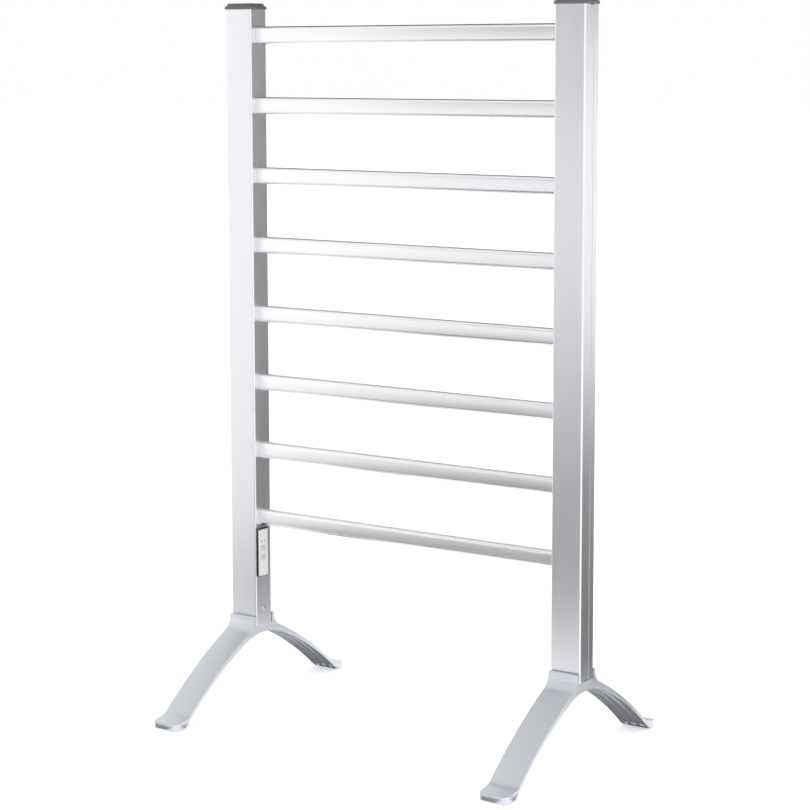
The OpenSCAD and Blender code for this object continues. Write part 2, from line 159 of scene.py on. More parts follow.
def copyPiece(piece, name, move):
    makeActive(piece)
    bpy.ops.object.duplicate()
    twin = bpy.context.object
    twin.name = name
    twin.location = move
    freeze(twin)
    return twin


def joinPieces(first, *others):
    makeActive(first)
    for other in others:
        other.select_set(True)
    bpy.ops.object.join()
    return first


def blockFromOutline(name, points, pull):
    # a flat face with these corners, pulled out into a block
    deselectAll()
    bpy.ops.mesh.primitive_circle_add(vertices=len(points), radius=anyRadius, fill_type="NGON")
    piece = bpy.context.object
    piece.name = name
    for point, corner in zip(piece.data.vertices, points):
        point.co = corner
    pick(piece, "FACE", lambda c, n: True)
    bpy.ops.mesh.extrude_region_move(TRANSFORM_OT_translate={"value": pull})
    bpy.ops.mesh.select_all(action="SELECT")
    bpy.ops.mesh.normals_make_consistent(inside=False)
    return done(piece)


def plateFromOutline(name, outline, x0, x1):
    # the outline is in Y and Z, and is pulled out along X
    return blockFromOutline(name, [(x0, y, z) for y, z in outline], (x1 - x0, 0, 0))


def turnedPiece(name, profile, centre, axis, steps=48):
    # profile: (distance along the axis, radius); it is spun round the axis and closed
    deselectAll()
    bpy.ops.mesh.primitive_circle_add(vertices=len(profile), radius=anyRadius)
    piece = bpy.context.object
    piece.name = name
    along = Vector(axis).normalized()
    out = along.orthogonal().normalized()
    for point, (far, radius) in zip(piece.data.vertices, profile):
        point.co = Vector(centre) + along * far + out * radius
    pick(piece, "VERT", lambda p: True)
    bpy.ops.mesh.spin(steps=steps, angle=2 * pi, center=centre, axis=along)
    bpy.ops.mesh.select_all(action="SELECT")
    bpy.ops.mesh.remove_doubles(threshold=0.01 * mm)
    bpy.ops.mesh.normals_make_consistent(inside=False)
    return done(piece)


# procedural finishes
noiseRange = (0.3, 0.7)   # the noise seldom leaves this range
noiseRoughness = 0.55


def newFinish(name):
    finish = bpy.data.materials.new(name)
    finish.use_nodes = True
    shader = finish.node_tree.nodes["Principled BSDF"]
    return finish, finish.node_tree, shader


def addNode(tree, kind, **settings):
    node = tree.nodes.new(kind)
    for key, value in settings.items():
        setattr(node, key, value)
    return node


def grainNoise(tree, stretch, detail):
    # noise in the piece's own metres, stretched along the grain
    place = addNode(tree, "ShaderNodeTexCoord")
    mapping = addNode(tree, "ShaderNodeMapping")
    mapping.inputs["Scale"].default_value = stretch
    noise = addNode(tree, "ShaderNodeTexNoise")
    noise.inputs["Scale"].default_value = 1.0
    noise.inputs["Detail"].default_value = detail
    noise.inputs["Roughness"].default_value = noiseRoughness
    tree.links.new(place.outputs["Object"], mapping.inputs["Vector"])
    tree.links.new(mapping.outputs["Vector"], noise.inputs["Vector"])
    return noise.outputs["Fac"]


def between(tree, fac, low, high, source=noiseRange):
    # the source's range is stretched to run from low to high
    spread = addNode(tree, "ShaderNodeMapRange")
    for socket, value in (("From Min", source[0]), ("From Max", source[1]),
                          ("To Min", low), ("To Max", high)):
        spread.inputs[socket].default_value = value
    tree.links.new(fac, spread.inputs["Value"])
    return spread.outputs["Result"]


def toneMix(tree, fac, dark, light):
    ramp = addNode(tree, "ShaderNodeValToRGB")
    for element, position, tone in zip(ramp.color_ramp.elements, noiseRange, (dark, light)):
        element.position = position
        element.color = (*tone, 1)
    tree.links.new(fac, ramp.inputs["Fac"])
    return ramp.outputs["Color"]


def addBump(tree, shader, height, strength, distance):
    bump = addNode(tree, "ShaderNodeBump")
    bump.inputs["Strength"].default_value = strength
    bump.inputs["Distance"].default_value = distance
    tree.links.new(height, bump.inputs["Height"])
    tree.links.new(bump.outputs["Normal"], shader.inputs["Normal"])


plainLook = {
    # what a finish has unless its own look says otherwise
    "detail": 3.0, "cloud": (6, 6, 6), "cloudDetail": 2.0, "cloudShare": 0.4,
    "metallic": 0.0, "coat": 0.0, "coatRough": 0.1, "ior": 1.5,
}


def grainedFinish(name, ownLook):
    look = {**plainLook, **ownLook}
    finish, tree, shader = newFinish(name)
    grain = grainNoise(tree, look["grain"], look["detail"])
    cloud = grainNoise(tree, look["cloud"], look["cloudDetail"])
    mixed = addNode(tree, "ShaderNodeMix", data_type="FLOAT")
    mixed.inputs["Factor"].default_value = look["cloudShare"]
    tree.links.new(grain, mixed.inputs["A"])
    tree.links.new(cloud, mixed.inputs["B"])
    tree.links.new(toneMix(tree, mixed.outputs["Result"], look["dark"], look["light"]),
                   shader.inputs["Base Color"])
    tree.links.new(between(tree, mixed.outputs["Result"], *look["rough"]),
                   shader.inputs["Roughness"])
    addBump(tree, shader, grain, look["bump"], look["bumpDepth"])
    shader.inputs["Metallic"].default_value = look["metallic"]
    shader.inputs["Coat Weight"].default_value = look["coat"]
    shader.inputs["Coat Roughness"].default_value = look["coatRough"]
    shader.inputs["IOR"].default_value = look["ior"]
    return finish


finishLooks = {
    # fine drawing lines run along each extrusion
    "satinUpright": {
        "dark": (0.715, 0.725, 0.745), "light": (0.785, 0.793, 0.81), "rough": (0.27, 0.36),
        "grain": (2600, 2600, 14), "bump": 0.12, "bumpDepth": 0.00004, "metallic": 1.0,
        "cloud": (9, 9, 2.5), "cloudShare": 0.45,
    },
    "satinBar": {
        "dark": (0.84, 0.848, 0.86), "light": (0.91, 0.915, 0.925), "rough": (0.27, 0.36),
        "grain": (14, 2600, 2600), "bump": 0.12, "bumpDepth": 0.00004, "metallic": 1.0,
        "cloud": (3, 14, 14), "cloudShare": 0.45,
    },
    "capPlastic": {
        "dark": (0.085, 0.086, 0.09), "light": (0.12, 0.121, 0.125), "rough": (0.34, 0.46),
        "grain": (1500, 1500, 1500), "bump": 0.25, "bumpDepth": 0.00005, "cloudShare": 0.3,
    },
    "silverFoot": {
        "dark": (0.60, 0.625, 0.665), "light": (0.68, 0.70, 0.74), "rough": (0.36, 0.46),
        "grain": (1800, 1800, 1800), "bump": 0.22, "bumpDepth": 0.00005, "metallic": 0.85,
        "cloudShare": 0.3, "detail": 4.0,
    },
    "zincScrew": {
        "dark": (0.55, 0.55, 0.56), "light": (0.70, 0.70, 0.71), "rough": (0.25, 0.42),
        "grain": (900, 900, 900), "bump": 0.2, "bumpDepth": 0.00003, "metallic": 1.0,
    },
    "ceramicWhite": {
        "dark": (0.66, 0.63, 0.56), "light": (0.76, 0.73, 0.66), "rough": (0.45, 0.6),
        "grain": (700, 700, 700), "bump": 0.2, "bumpDepth": 0.0001,
    },
    "siliconeCord": {
        "dark": (0.045, 0.045, 0.047), "light": (0.075, 0.075, 0.078), "rough": (0.5, 0.65),
        "grain": (800, 800, 800), "bump": 0.2, "bumpDepth": 0.0001,
    },
    "padRubber": {
        "dark": (0.42, 0.425, 0.44), "light": (0.52, 0.525, 0.54), "rough": (0.5, 0.7),
        "grain": (1200, 1200, 1200), "bump": 0.5, "bumpDepth": 0.0002,
    },
    "glossBlack": {
        "dark": (0.012, 0.012, 0.014), "light": (0.02, 0.02, 0.023), "rough": (0.07, 0.13),
        "grain": (260, 260, 260), "bump": 0.04, "bumpDepth": 0.00003, "coat": 0.5,
        "coatRough": 0.05,
    },
    "facePlate": {
        "dark": (0.53, 0.545, 0.555), "light": (0.60, 0.612, 0.62), "rough": (0.28, 0.38),
        "grain": (1600, 1600, 1600), "bump": 0.12, "bumpDepth": 0.00004,
    },
    "keyPlastic": {
        "dark": (0.44, 0.455, 0.465), "light": (0.50, 0.512, 0.52), "rough": (0.34, 0.46),
        "grain": (1500, 1500, 1500), "bump": 0.2, "bumpDepth": 0.00005,
    },
    "signInk": {
        "dark": (0.10, 0.105, 0.11), "light": (0.16, 0.165, 0.17), "rough": (0.4, 0.5),
        "grain": (2500, 2500, 2500), "bump": 0.1, "bumpDepth": 0.00002,
    },
    "boardGreen": {
        "dark": (0.01, 0.10, 0.04), "light": (0.02, 0.16, 0.07), "rough": (0.3, 0.45),
        "grain": (300, 300, 300), "bump": 0.1, "bumpDepth": 0.0001,
    },
    "smokedWindow": {
        "dark": (0.10, 0.10, 0.105), "light": (0.16, 0.155, 0.15), "rough": (0.06, 0.14),
        "grain": (600, 600, 600), "bump": 0.05, "bumpDepth": 0.00003, "coat": 0.6,
        "coatRough": 0.04,
    },
    "brassTag": {
        "dark": (0.62, 0.45, 0.18), "light": (0.75, 0.56, 0.25), "rough": (0.25, 0.4),
        "grain": (900, 900, 900), "bump": 0.1, "bumpDepth": 0.00005, "metallic": 1.0,
    },
}
finishes = {name: grainedFinish(name, look) for name, look in finishLooks.items()}
print("finishes made")


def dress(piece, finishName):
    piece.data.materials.clear()
    piece.data.materials.append(finishes[finishName])


def putOn(piece, finishName, slotName, body, *replaced):
    dress(piece, finishName)
    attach(piece, body)
    if replaced:
        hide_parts(*replaced)
    return piece


# every CAD node gets a finish, and those that nothing replaces keep their own shape
nodeFinishes = {
    "upright": "satinUpright", "cover_strip": "satinUpright", "foot_screw": "zincScrew",
    "bar_screws": "zincScrew", "bar_plugs": "ceramicWhite", "link_wires": "siliconeCord",
    "front_toe_pad": "padRubber", "rear_toe_pad": "padRubber", "cap": "capPlastic",
    "foot": "silverFoot", "bar": "satinBar", "heater": "ceramicWhite",
    "panel_housing": "glossBlack", "panel_plate": "facePlate", "control_board": "boardGreen",
    "power_button": "keyPlastic", "timer_button": "keyPlastic",
    "indicator_windows": "smokedWindow", "panel_screws": "zincScrew",
    "thermal_cutout": "siliconeCord", "terminal_block": "ceramicWhite",
    "earth_screw": "zincScrew", "earth_tag": "brassTag", "cord_gland": "siliconeCord",
}
for nodeName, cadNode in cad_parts.items():
    family = nodeName.replace("left_", "").replace("right_", "").rstrip("_0123456789")
    dress(cadNode, nodeFinishes[family])
print("frame nodes finished")


# heated bars: open tubes with round edges
barLook = {"count": 8, "edgeRound": 5 * mm, "edgeSteps": 8, "wall": 1.4 * mm, "smoothAngle": 30}


def makeBars(look):
    low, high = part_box("bar_1")
    topBar = startCube("heatedBar1", low, high)
    pick(topBar, "FACE", lambda c, n: abs(n.x) > aligned)
    bpy.ops.mesh.delete(type="ONLY_FACE")
    pick(topBar, "EDGE", lambda m, d: abs(d.x) > aligned)
    bpy.ops.mesh.bevel(offset=look["edgeRound"], segments=look["edgeSteps"], affect="EDGES")
    done(topBar)
    applyModifier(topBar, "SOLIDIFY", thickness=look["wall"], offset=-1)
    smooth(topBar, look["smoothAngle"])
    for k in range(1, look["count"] + 1):
        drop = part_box(f"bar_{k}")[0].z - low.z
        bar = topBar if k == 1 else copyPiece(topBar, f"heatedBar{k}", (0, 0, drop))
        putOn(bar, "satinBar", "bar_metal", "frame", f"bar_{k}")


makeBars(barLook)
print("bars made")


# end caps: a rim that overhangs the upright, a raised top and a plug below
capLook = {
    "plugDepth": 14 * mm,     # part of the CAD cap's height that is inside the upright
    "rim": 4.3 * mm,
    "sideRound": 3.6 * mm,
    "sideSteps": 6,
    "shoulder": 1.0 * mm,     # the rim's bevelled upper edge
    "step": 2.4 * mm,         # from the rim's side in to the raised top
    "taper": 1.6 * mm,
    "plugInset": 5 * mm,
    "softness": 0.45 * mm,
    "softSteps": 3,
    "softAngle": 25,
    "smoothAngle": 40,
}


def makeCap(side, look):
    low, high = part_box(f"{side}_cap")
    rimBase = low.z + look["plugDepth"]
    rimTop = rimBase + look["rim"]
    width, depth = high.x - low.x, high.y - low.y

    def pullUp(far):
        bpy.ops.mesh.extrude_region_move(TRANSFORM_OT_translate={"value": (0, 0, far)})

    def drawIn(far):
        bpy.ops.transform.resize(value=(1 - 2 * far / width, 1 - 2 * far / depth, 1))

    cap = startCube(f"{side}EndCap", (low.x, low.y, rimBase), (high.x, high.y, rimTop))
    pick(cap, "EDGE", lambda m, d: abs(d.z) > aligned)
    bpy.ops.mesh.bevel(offset=look["sideRound"], segments=look["sideSteps"], affect="EDGES")
    done(cap)
    pick(cap, "FACE", lambda c, n: n.z > aligned)
    bpy.ops.transform.translate(value=(0, 0, -look["shoulder"]))
    pullUp(look["shoulder"])
    drawIn(look["shoulder"])
    bpy.ops.mesh.inset(thickness=look["step"] - look["shoulder"])
    pullUp(high.z - rimBase - look["rim"])
    drawIn(look["taper"])
    done(cap)
    pick(cap, "FACE", lambda c, n: n.z < -aligned)
    bpy.ops.mesh.inset(thickness=look["plugInset"])
    pullUp(-look["plugDepth"])
    done(cap)
    roundEdges(cap, look["softness"], look["softSteps"], look["softAngle"])
    smooth(cap, look["smoothAngle"])
    putOn(cap, "capPlastic", "cap_plastic", "frame", f"{side}_cap")


for side in sides:
    makeCap(side, capLook)
print("caps made")


# arched feet: an outline pulled out to the foot's width, with pockets between webs underneath
footLook = {
    # in millimetres and degrees, except the bevels, which are in metres
    "halfLength": 186, "width": 41, "rise": 106, "seatY": 16.7, "slitDepth": 3.5,
    "slitWidth": 0.8, "collarWall": 4.5, "collarRise": 12, "lip": 2.2, "fillet": 20,
    "legSlope": 26, "archTop": 94, "archRadius": 98, "archTurn": 24, "toeRise": 9,
    "toeBack": 30, "floorBack": 17, "tip": 3, "padRoom": 0.8, "deck": 3, "web": 3.2,
    "webs": 4, "webStop": 165, "toeCorner": 9, "spigot": (14.6, 14.6, 146),
    "legBend": 0.52,         # where the leg's curve bends, as a share of its length
    "legLift": 8,            # the leg's end over the toe
    "toeTop": ((2.4, -1.9), (5.2, -3.2), (9, -4.5)),   # forward and up from the leg's end
    "toeDeck": ((14, 2.5), (8, 1.3)),                   # back from the foot's end, up from the toe
    "nose": 4, "noseTurn": 70,
    "cornerSteps": 6, "curveSteps": 12, "legSteps": 36, "planSteps": 8,
    "roofShift": (0.5, 1.1),   # shares of the deck by which a pocket's roof lies back and down
    "pocketStart": 8, "pocketStop": 14, "pocketFloor": 25, "roofLift": 1, "stopDrop": 2,
    "below": -3,             # where the pockets' cutters begin, under the floor
    "topRound": 1.9 * mm, "topSteps": 4, "smoothAngle": 32,
    "spigotSink": 2, "spigotRound": 1 * mm, "spigotSteps": 3,
}


def arcPoints(cy, cz, radius, a0, a1, steps):
    return [(cy + radius * cos(radians(a0 + (a1 - a0) * i / steps)),
             cz + radius * sin(radians(a0 + (a1 - a0) * i / steps))) for i in range(steps + 1)]


def legLine(p, q, slope, look):
    # a curve that leaves p along the slope and steepens towards q
    bend = p[0] + (q[0] - p[0]) * look["legBend"]
    c = (bend, p[1] - (bend - p[0]) * tan(radians(slope)))
    line = []
    for i in range(look["legSteps"] + 1):
        t = i / look["legSteps"]
        line.append(tuple((1 - t) ** 2 * a + 2 * t * (1 - t) * b + t * t * e
                          for a, b, e in zip(p, c, q)))
    return line


def footLines(look):
    # half a foot in millimetres, in front-to-back distance and height
    inner = look["seatY"] + look["slitWidth"]
    outer = inner + look["collarWall"]
    top = look["rise"] + look["collarRise"]
    end, tip, toe = look["halfLength"], look["tip"], look["toeRise"]
    corner, steps, pad = look["cornerSteps"], look["curveSteps"], look["padRoom"]

    slitFoot = look["rise"] - look["slitDepth"]
    seat = [(0, look["rise"]), (look["seatY"], look["rise"]), (look["seatY"], slitFoot),
            (inner, slitFoot), (inner, top)]
    lip = arcPoints(outer - look["lip"], top - look["lip"], look["lip"], 90, 0, corner)[:-1]
    f, slope = look["fillet"], look["legSlope"]
    fillet = []
    for i in range(steps + 1):
        a = radians(90 + (slope - 90) * i / steps)
        fillet.append((outer + f * (1 - sin(a)), top - look["lip"] - f * cos(a)))

    legEnd = (end - look["toeBack"], toe + look["legLift"])
    legTop = legLine(fillet[-1], legEnd, slope, look)
    toeTop = [(legEnd[0] + y, legEnd[1] + z) for y, z in look["toeTop"]]
    toeTop += [(end - y, toe + z) for y, z in look["toeDeck"]]
    nose = look["nose"]
    front = arcPoints(end - nose, toe - tip + pad, nose, look["noseTurn"], 0, corner)
    front += arcPoints(end - tip, tip + pad, tip, 0, -90, corner)

    r, turn = look["archRadius"], look["archTurn"]
    arch = []
    for i in range(steps + 1):
        a = radians(turn * i / steps)
        arch.append((r * sin(a), look["archTop"] - r * (1 - cos(a))))
    under = legLine(arch.pop(), (end - look["floorBack"], pad), turn, look)

    upper = lip + fillet + legTop[1:] + toeTop
    return seat + upper + front + under[::-1] + arch[::-1], upper, legTop, outer


def roundedPlan(width, length, radius, steps):
    # a rectangle with rounded corners, seen from above
    x, y = width / 2 - radius, length / 2 - radius
    corners = ((x, y, 0), (-x, y, 90), (-x, -y, 180), (x, -y, 270))
    return [point for cx, cy, a in corners for point in arcPoints(cx, cy, radius, a, a + 90, steps)]


def makeFoot(look):
    half, upper, legTop, outer = footLines(look)
    other = [(-y, z) for y, z in half[::-1]]
    outline = [(y * mm, z * mm) for y, z in half + other[1:-1]]
    w = look["width"] / 2 * mm
    foot = plateFromOutline("archedFoot", outline, -w, w)
    # the toes are rounded seen from above
    spare = 0.02   # the plan's width and length are this much over the foot's
    plan = roundedPlan(look["width"] + spare, 2 * look["halfLength"] + spare, look["toeCorner"],
                       look["planSteps"])
    keep = blockFromOutline("footPlan", [(x * mm, y * mm, -0.01) for x, y in plan], (0, 0, 0.2))
    applyModifier(foot, "BOOLEAN", operation="INTERSECT", object=keep, solver="EXACT")
    bpy.data.objects.remove(keep)
    # the pockets' roof follows the leg, a deck's thickness inside
    back, down = look["roofShift"]
    roof = [(y - look["deck"] * back, z - look["deck"] * down) for y, z in legTop]
    start, stop = outer + look["pocketStart"], look["halfLength"] - look["pocketStop"]
    roof = [p for p in roof if start < p[0] < look["halfLength"] - look["toeBack"]]
    low, roofEnd = look["below"], look["toeRise"] + look["roofLift"]
    stopTop = look["toeRise"] - look["stopDrop"]
    pocket = roof + [(look["halfLength"] - look["pocketFloor"], roofEnd), (stop, stopTop),
                     (stop, low), (start, low)]
    pitch = (look["width"] - look["web"]) / (look["webs"] - 1)
    for way in (1, -1):
        for i in range(look["webs"] - 1):
            x0 = -look["width"] / 2 + i * pitch + look["web"]
            x1 = x0 + pitch - look["web"]
            line = [(way * y * mm, z * mm) for y, z in pocket]
            cutWith(foot, plateFromOutline("pocket", line, x0 * mm, x1 * mm))
        # behind the webs' ends the hollow runs across the whole foot, inside the outer walls
        reach = look["width"] / 2 - look["web"]
        line = [(way * y * mm, z * mm) for y, z in
                ((look["webStop"], low), (stop, low), (stop, stopTop), (look["webStop"], roofEnd))]
        cutWith(foot, plateFromOutline("webGap", line, -reach * mm, reach * mm))
    # the upper edges, from the collar's lip to the toe's corner, have a wide soft round
    upper = [p for p in upper if p[0] < look["halfLength"] - look["toeCorner"]]
    near = 0.3   # millimetres from the middle of an edge to the middle of the outline's span

    def onUpper(middle, direction):
        if abs(direction.x) > 0.5 or abs(middle.x) < w - 0.001 * mm:
            return False
        y, z = abs(middle.y) / mm, middle.z / mm
        return any(abs((p[0] + q[0]) / 2 - y) + abs((p[1] + q[1]) / 2 - z) < near
                   for p, q in zip(upper, upper[1:]))

    pick(foot, "EDGE", onUpper)
    bpy.ops.mesh.bevel(offset=look["topRound"], segments=look["topSteps"], affect="EDGES",
                       clamp_overlap=True)
    done(foot)
    smooth(foot, look["smoothAngle"])
    sx, sy, sz = look["spigot"]
    spigot = startCube("spigot", (-sx * mm, -sy * mm, (look["rise"] - look["spigotSink"]) * mm),
                       (sx * mm, sy * mm, sz * mm))
    pick(spigot, "EDGE", lambda m, d: abs(d.z) > aligned)
    bpy.ops.mesh.bevel(offset=look["spigotRound"], segments=look["spigotSteps"], affect="EDGES")
    done(spigot)
    return joinPieces(foot, spigot)


firstFoot = makeFoot(footLook)
for side in sides:
    low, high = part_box(f"{side}_foot")
    foot = copyPiece(firstFoot, f"{side}ArchedFoot", ((low.x + high.x) / 2, 0, 0))
    putOn(foot, "silverFoot", "foot_plastic", "frame", f"{side}_foot")
bpy.data.objects.remove(firstFoot)
print("feet made")


# control panel: its shell, face plate and two keys with their signs
panelLook = {
    "shellRound": 1.0 * mm, "shellSteps": 4, "shellAngle": 30, "boardFit": 0.15 * mm,
    "plateCorner": 0.8 * mm, "plateSteps": 4, "plateRound": 0.15 * mm, "plateAngle": 30,
    "windowFit": 0.05 * mm, "windowDepth": 8 * mm, "windowSteps": 40,
    "keyGap": 0.3 * mm,      # round a key in the face plate
    "collar": 0.9 * mm,      # the wider foot of a key, behind the face plate
    "keySink": 0.15 * mm,    # from the face plate's back to the collar
    "keyRise": 0.12 * mm,    # the key's last rise to its raised middle, in two equal parts
    "keyRound": 0.45 * mm, "keySteps": 4, "middleInset": 0.99 * mm, "keyAngle": 40,
    "stem": 3 * mm,
}
signLook = {
    "radius": 1.25 * mm, "line": 0.28 * mm, "proud": 0.06 * mm, "flatness": 0.4,
    "ringSteps": 40, "lineSteps": 8, "strokeRound": 0.04 * mm, "smoothAngle": 40,
    "strokeStart": 0.1 * mm, "strokeReach": 1.35, "longHand": 0.9 * mm, "shortHand": 0.7 * mm,
}


def grown(corners, step):
    # a box's corners moved out in Y and Z
    low, high = corners
    return (low.x, low.y - step, low.z - step), (high.x, high.y + step, high.z + step)


def makeHousing(look):
    low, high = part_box("panel_housing")
    housing = startCube("panelShell", low, high)
    pick(housing, "EDGE", lambda m, d: abs(d.x) > aligned or m.x > high.x - 0.01 * mm)
    bpy.ops.mesh.bevel(offset=look["shellRound"], segments=look["shellSteps"], affect="EDGES")
    done(housing)
    roomLow, roomHigh = grown(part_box("control_board"), look["boardFit"])
    cutWith(housing, startCube("boardRoom", (low.x - mm, *roomLow[1:]),
                               (high.x + mm, *roomHigh[1:])))
    smooth(housing, look["shellAngle"])
    putOn(housing, "glossBlack", "panel_gloss", "frame", "panel_housing")


def makePlate(look):
    low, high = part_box("panel_plate")
    plate = startCube("panelFacePlate", low, high)
    pick(plate, "EDGE", lambda m, d: abs(d.x) > aligned)
    bpy.ops.mesh.bevel(offset=look["plateCorner"], segments=look["plateSteps"], affect="EDGES")
    done(plate)
    for key in ("power_button", "timer_button"):
        keyLow, keyHigh = grown(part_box(key), look["keyGap"] - look["collar"])
        cutWith(plate, startCube("keyRoom", (low.x - mm, *keyLow[1:]), (high.x + mm, *keyHigh[1:])))
    windowLow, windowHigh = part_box("indicator_windows")
    radius = (windowHigh.z - windowLow.z) / 2
    for y in (windowLow.y + radius, windowHigh.y - radius):
        deselectAll()
        bpy.ops.mesh.primitive_cylinder_add(
            vertices=look["windowSteps"], radius=radius + look["windowFit"],
            depth=look["windowDepth"], rotation=(0, pi / 2, 0),
            location=(low.x, y, (windowLow.z + windowHigh.z) / 2))
        cutWith(plate, bpy.context.object)
    roundEdges(plate, look["plateRound"], 2, 50)
    smooth(plate, look["plateAngle"])
    putOn(plate, "facePlate", "panel_face", "frame", "panel_plate")


def addSign(key, face, centre, look):
    # a ring with a stroke for power, a ring with two hands for the timer
    deselectAll()
    bpy.ops.mesh.primitive_torus_add(
        major_radius=look["radius"], minor_radius=look["line"] / 2,
        major_segments=look["ringSteps"], minor_segments=look["lineSteps"],
        rotation=(0, pi / 2, 0), location=(face, *centre))
    ring = bpy.context.object
    ring.scale = (1, 1, look["flatness"])
    freeze(ring)
    y, z = centre
    half = look["line"] / 2
    if key == "timer_button":
        strokes = [((y - half, z), (y + half, z + look["longHand"])),
                   ((y, z - half), (y + look["shortHand"], z + half))]
    else:
        strokes = [((y - half, z + look["strokeStart"]),
                    (y + half, z + look["radius"] * look["strokeReach"]))]
    bars = []
    for (y0, z0), (y1, z1) in strokes:
        bar = startCube("stroke", (face - look["proud"], y0, z0), (face + look["proud"], y1, z1))
        roundEdges(bar, look["strokeRound"], 2, 30)
        bars.append(bar)
    sign = joinPieces(ring, *bars)
    smooth(sign, look["smoothAngle"])
    return sign


def makeKey(name, node, body, look):
    low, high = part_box(node)
    step, halfRise = look["collar"], look["keyRise"] / 2
    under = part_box("panel_plate")[0].x - look["keySink"]
    key = startCube(name, (under - step, low.y, low.z), (under, high.y, high.z))
    pick(key, "FACE", lambda c, n: n.x > aligned)
    bpy.ops.mesh.inset(thickness=step)
    bpy.ops.mesh.extrude_region_move(
        TRANSFORM_OT_translate={"value": (high.x - under - look["keyRise"], 0, 0)})
    bpy.ops.mesh.inset(thickness=look["middleInset"])
    bpy.ops.transform.translate(value=(halfRise, 0, 0))
    done(key)
    pick(key, "FACE", lambda c, n: n.x < -aligned)
    bpy.ops.mesh.inset(thickness=(high.z - low.z - look["stem"]) / 2)
    bpy.ops.mesh.extrude_region_move(TRANSFORM_OT_translate={"value": (low.x - under + step, 0, 0)})
    done(key)
    rims = ((1, low.y + step), (1, high.y - step), (2, low.z + step), (2, high.z - step))
    pick(key, "EDGE", lambda m, d: m.x > high.x - 0.15 * mm and any(
        abs(m[axis] - rim) < 0.01 * mm for axis, rim in rims))
    bpy.ops.mesh.bevel(offset=look["keyRound"], segments=look["keySteps"], affect="EDGES")
    done(key)
    smooth(key, look["keyAngle"])
    putOn(key, "keyPlastic", "key_plastic", body, node)
    middle = ((low.y + high.y) / 2, (low.z + high.z) / 2)
    sign = addSign(node, high.x - halfRise, middle, signLook)
    sign.name = name + "Sign"
    putOn(sign, "signInk", "panel_gloss", body)


makeHousing(panelLook)
makePlate(panelLook)
makeKey("powerKey", "power_button", "power_key", panelLook)
makeKey("timerKey", "timer_button", "timer_key", panelLook)
print("panel made")


# foot screws with a domed cross head, and the lead's ribbed gland
screwLook = {
    "headRadius": 3.5 * mm, "headRise": 1.8 * mm, "domeDrop": 0.9 * mm, "rimDrop": 1.2 * mm,
    "shank": 1.65 * mm, "point": 0.6, "crossWidth": 1.0 * mm, "crossLength": 4.4 * mm,
    "crossDepth": 1.5 * mm, "smoothAngle": 35,
}
glandLook = {
    "flangeRound": 0.6 * mm, "bore": 3.5 * mm, "flange": 1.6 * mm, "flangeRadius": 8.5 * mm,
    "neck": 6.0 * mm, "tip": 5.0 * mm, "tipRound": 0.4 * mm, "ribs": 4, "steps": 64,
    "smoothAngle": 35,
    # from a rib's start: how far along, and how much slimmer
    "rib": ((0, 0), (0.25 * mm, 0.45 * mm), (0.7 * mm, 0.45 * mm), (0.95 * mm, 0.05 * mm)),
    "ribStart": 0.55, "ribRoom": 0.6,   # in ribs: before the first, and added to their number
}


def makeFootScrew(side, look):
    low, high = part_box(f"{side}_foot_screw")
    inward = -sides[side]
    face = high.x - look["headRise"] if inward > 0 else low.x + look["headRise"]
    y, z = (low.y + high.y) / 2, (low.z + high.z) / 2
    length = high.x - low.x - look["headRise"]
    radius, rise = look["headRadius"], look["headRise"]
    dome = [(rise * sin(radians(a)), radius - look["domeDrop"] * (1 - cos(radians(a)))
             - look["rimDrop"] * (a / 90) ** 3) for a in range(15, 91, 15)]
    shank = look["shank"]
    profile = [(-length, 0), (-length, shank * look["point"]), (-length + mm, shank), (0, shank),
               (0, radius)] + dome + [(rise, 0)]
    screw = turnedPiece(f"{side}FootScrew", profile, (face, y, z), (inward, 0, 0))
    half, reach = look["crossWidth"] / 2, look["crossLength"] / 2
    x0, x1 = sorted((face + inward * (rise - look["crossDepth"]), face + inward * (rise + mm)))
    for dy, dz in ((half, reach), (reach, half)):
        cutWith(screw, startCube("cross", (x0, y - dy, z - dz), (x1, y + dy, z + dz)))
    smooth(screw, look["smoothAngle"])
    putOn(screw, "zincScrew", "screw_steel", "frame", f"{side}_foot_screw")


def makeGland(look):
    low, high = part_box("cord_gland")
    x, z = (low.x + high.x) / 2, (low.z + high.z) / 2
    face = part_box("left_upright")[1].y
    depth, tail = low.y - face, high.y - face
    r, f, rim, neck = (look[k] for k in ("flangeRound", "flange", "flangeRadius", "neck"))
    profile = [(depth, look["bore"]), (depth, neck), (0, neck), (0, rim), (f - r, rim),
               (f - r * 0.3, rim - r * 0.3), (f, rim - r), (f, neck)]
    for i in range(look["ribs"]):
        a = f + (tail - f) * (i + look["ribStart"]) / (look["ribs"] + look["ribRoom"])
        slim = neck + (look["tip"] - neck) * (a - f) / (tail - f)
        profile += [(a + far, slim - less) for far, less in look["rib"]]
    profile += [(tail - look["tipRound"], look["tip"]), (tail, look["tip"] - look["tipRound"]),
                (tail, look["bore"])]
    gland = turnedPiece("leadGland", profile, (x, face, z), (0, 1, 0), look["steps"])
    smooth(gland, look["smoothAngle"])
    putOn(gland, "siliconeCord", "cable_rubber", "frame", "cord_gland")


for side in sides:
    makeFootScrew(side, screwLook)
makeGland(glandLook)
print("screws and gland made")


